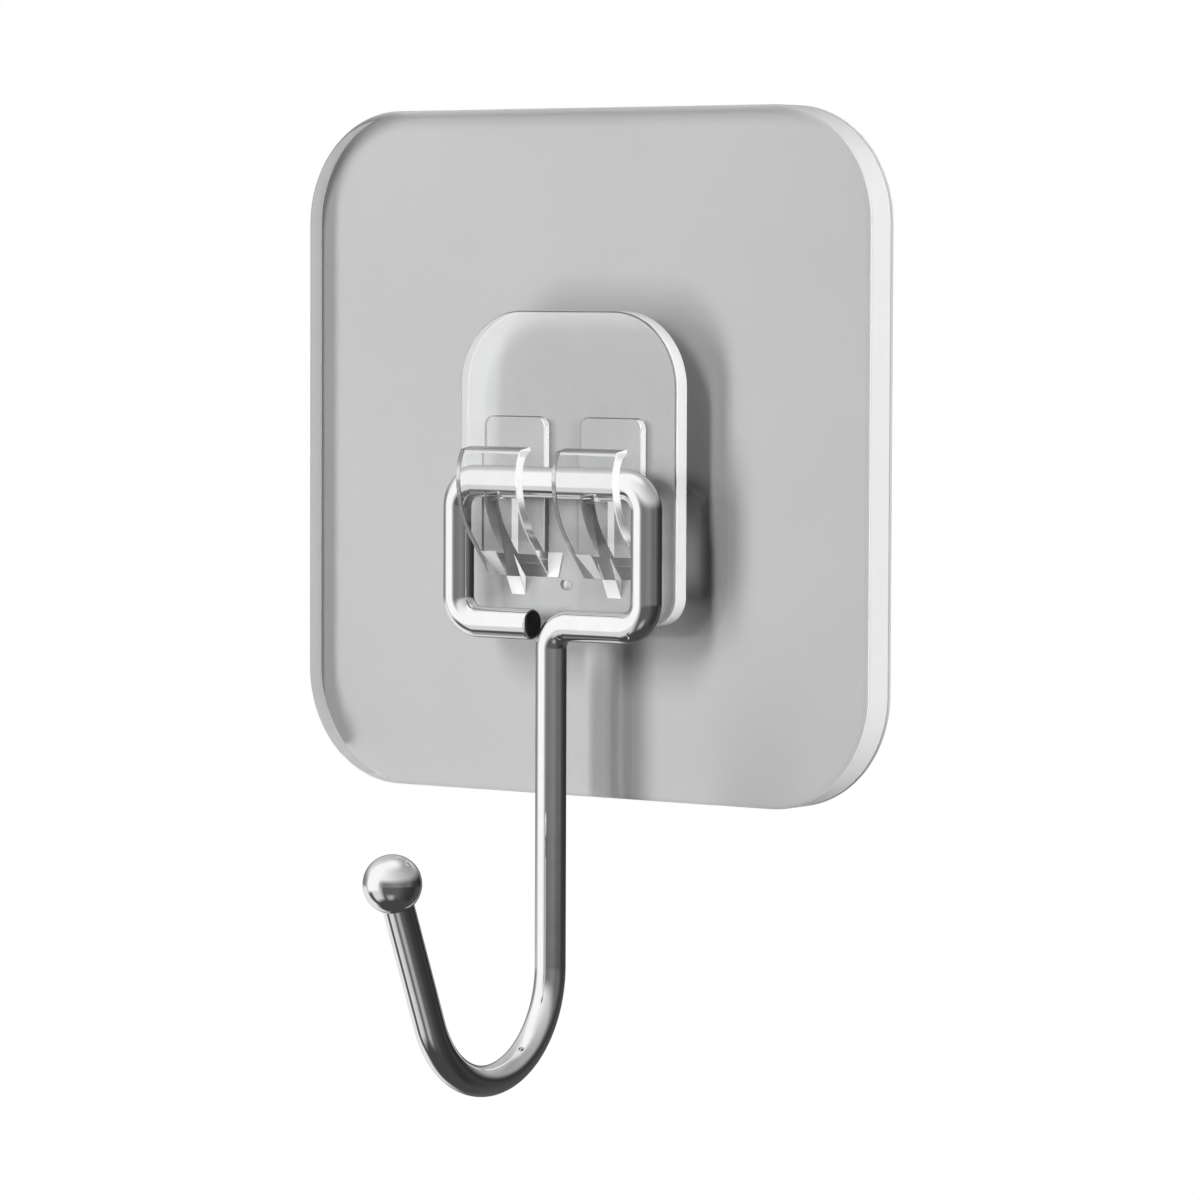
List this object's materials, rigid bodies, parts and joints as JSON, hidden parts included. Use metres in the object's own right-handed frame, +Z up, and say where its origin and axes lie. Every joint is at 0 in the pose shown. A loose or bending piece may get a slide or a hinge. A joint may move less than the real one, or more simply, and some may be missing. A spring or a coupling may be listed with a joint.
{
  "type": "adhesive wall hook",
  "caption": "Clear stick-on wall hook: a square pad with round corners, a clear seat with spring clips, and a swinging chromed wire hook with a ball tip.",
  "frame": {"origin": "centre of the sticky back face, on the wall", "axes": "+X to the right as seen from the front, +Y into the wall, +Z up"},
  "size_m": [0.06, 0.0327, 0.0849],
  "materials": {
    "clear_plastic": "clear, polished",
    "clear_gel": "clear gel, slightly grey",
    "chrome": "bright chrome on steel wire"
  },
  "bodies": {
    "mount": {"adhesive_film": "clear_gel", "wall_pad": "clear_plastic", "seat_bond": "clear_gel", "clip_seat": "clear_plastic"},
    "hook": {"wire_hook": "chrome", "ball_tip": "chrome"}
  },
  "joints": [
    {"name": "hook_swing", "type": "hinge", "parent": "mount", "child": "hook", "pos_m": [0, -0.00764, -0.00248], "axis": [-1, 0, 0], "range_deg": [-3.5, 150]}
  ]
}
